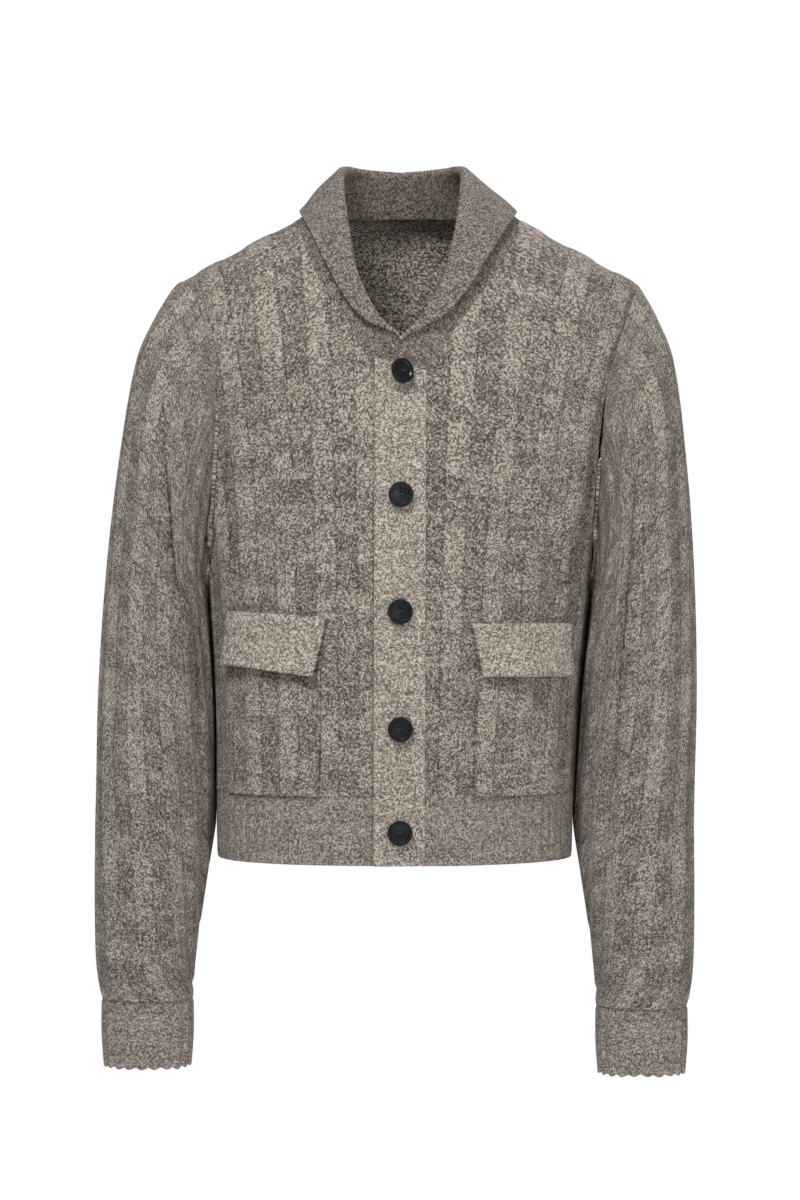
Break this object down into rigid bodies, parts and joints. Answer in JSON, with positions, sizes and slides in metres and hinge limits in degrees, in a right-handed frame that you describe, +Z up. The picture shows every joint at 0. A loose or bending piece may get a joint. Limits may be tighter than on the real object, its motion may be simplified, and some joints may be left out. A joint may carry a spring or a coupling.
{
  "type": "shawl collar cardigan",
  "caption": "Worn hollow knit cardigan with shawl collar, ribbed body and sleeves, buttoned front band, flap pockets, hem band and cuffs",
  "frame": {"origin": "the middle of the neck base, level with the high points of the shoulders, where the wearer's neck and shoulders hold the garment", "axes": "+X to the wearer's left, -Y to the front, +Z up"},
  "size_m": [0.5502, 0.2668, 0.8378],
  "materials": {
    "rib_knit": "wide flat rib of marled wool blend yarn, matt, slightly brushed",
    "plain_knit": "close plain knit of marled wool blend yarn, matt, slightly fuzzy",
    "trim_rib": "narrow rib of marled wool blend yarn, matt",
    "button_plastic": "turned polyester resin, polished rim and matt dished face"
  },
  "bodies": {
    "root": {"back": "rib_knit", "button_1": "button_plastic", "button_2": "button_plastic", "button_3": "button_plastic", "button_4": "button_plastic", "button_5": "button_plastic", "button_band_left": "plain_knit", "button_band_right": "plain_knit", "cuff_left": "trim_rib", "cuff_right": "trim_rib", "front_left": "rib_knit", "front_right": "rib_knit", "hem_band_back": "trim_rib", "hem_band_left": "trim_rib", "hem_band_right": "trim_rib", "pocket_flap_left": "plain_knit", "pocket_flap_right": "plain_knit", "pocket_left": "rib_knit", "pocket_right": "rib_knit", "shawl_collar": "plain_knit", "sleeve_left": "rib_knit", "sleeve_right": "rib_knit"}
  },
  "joints": []
}
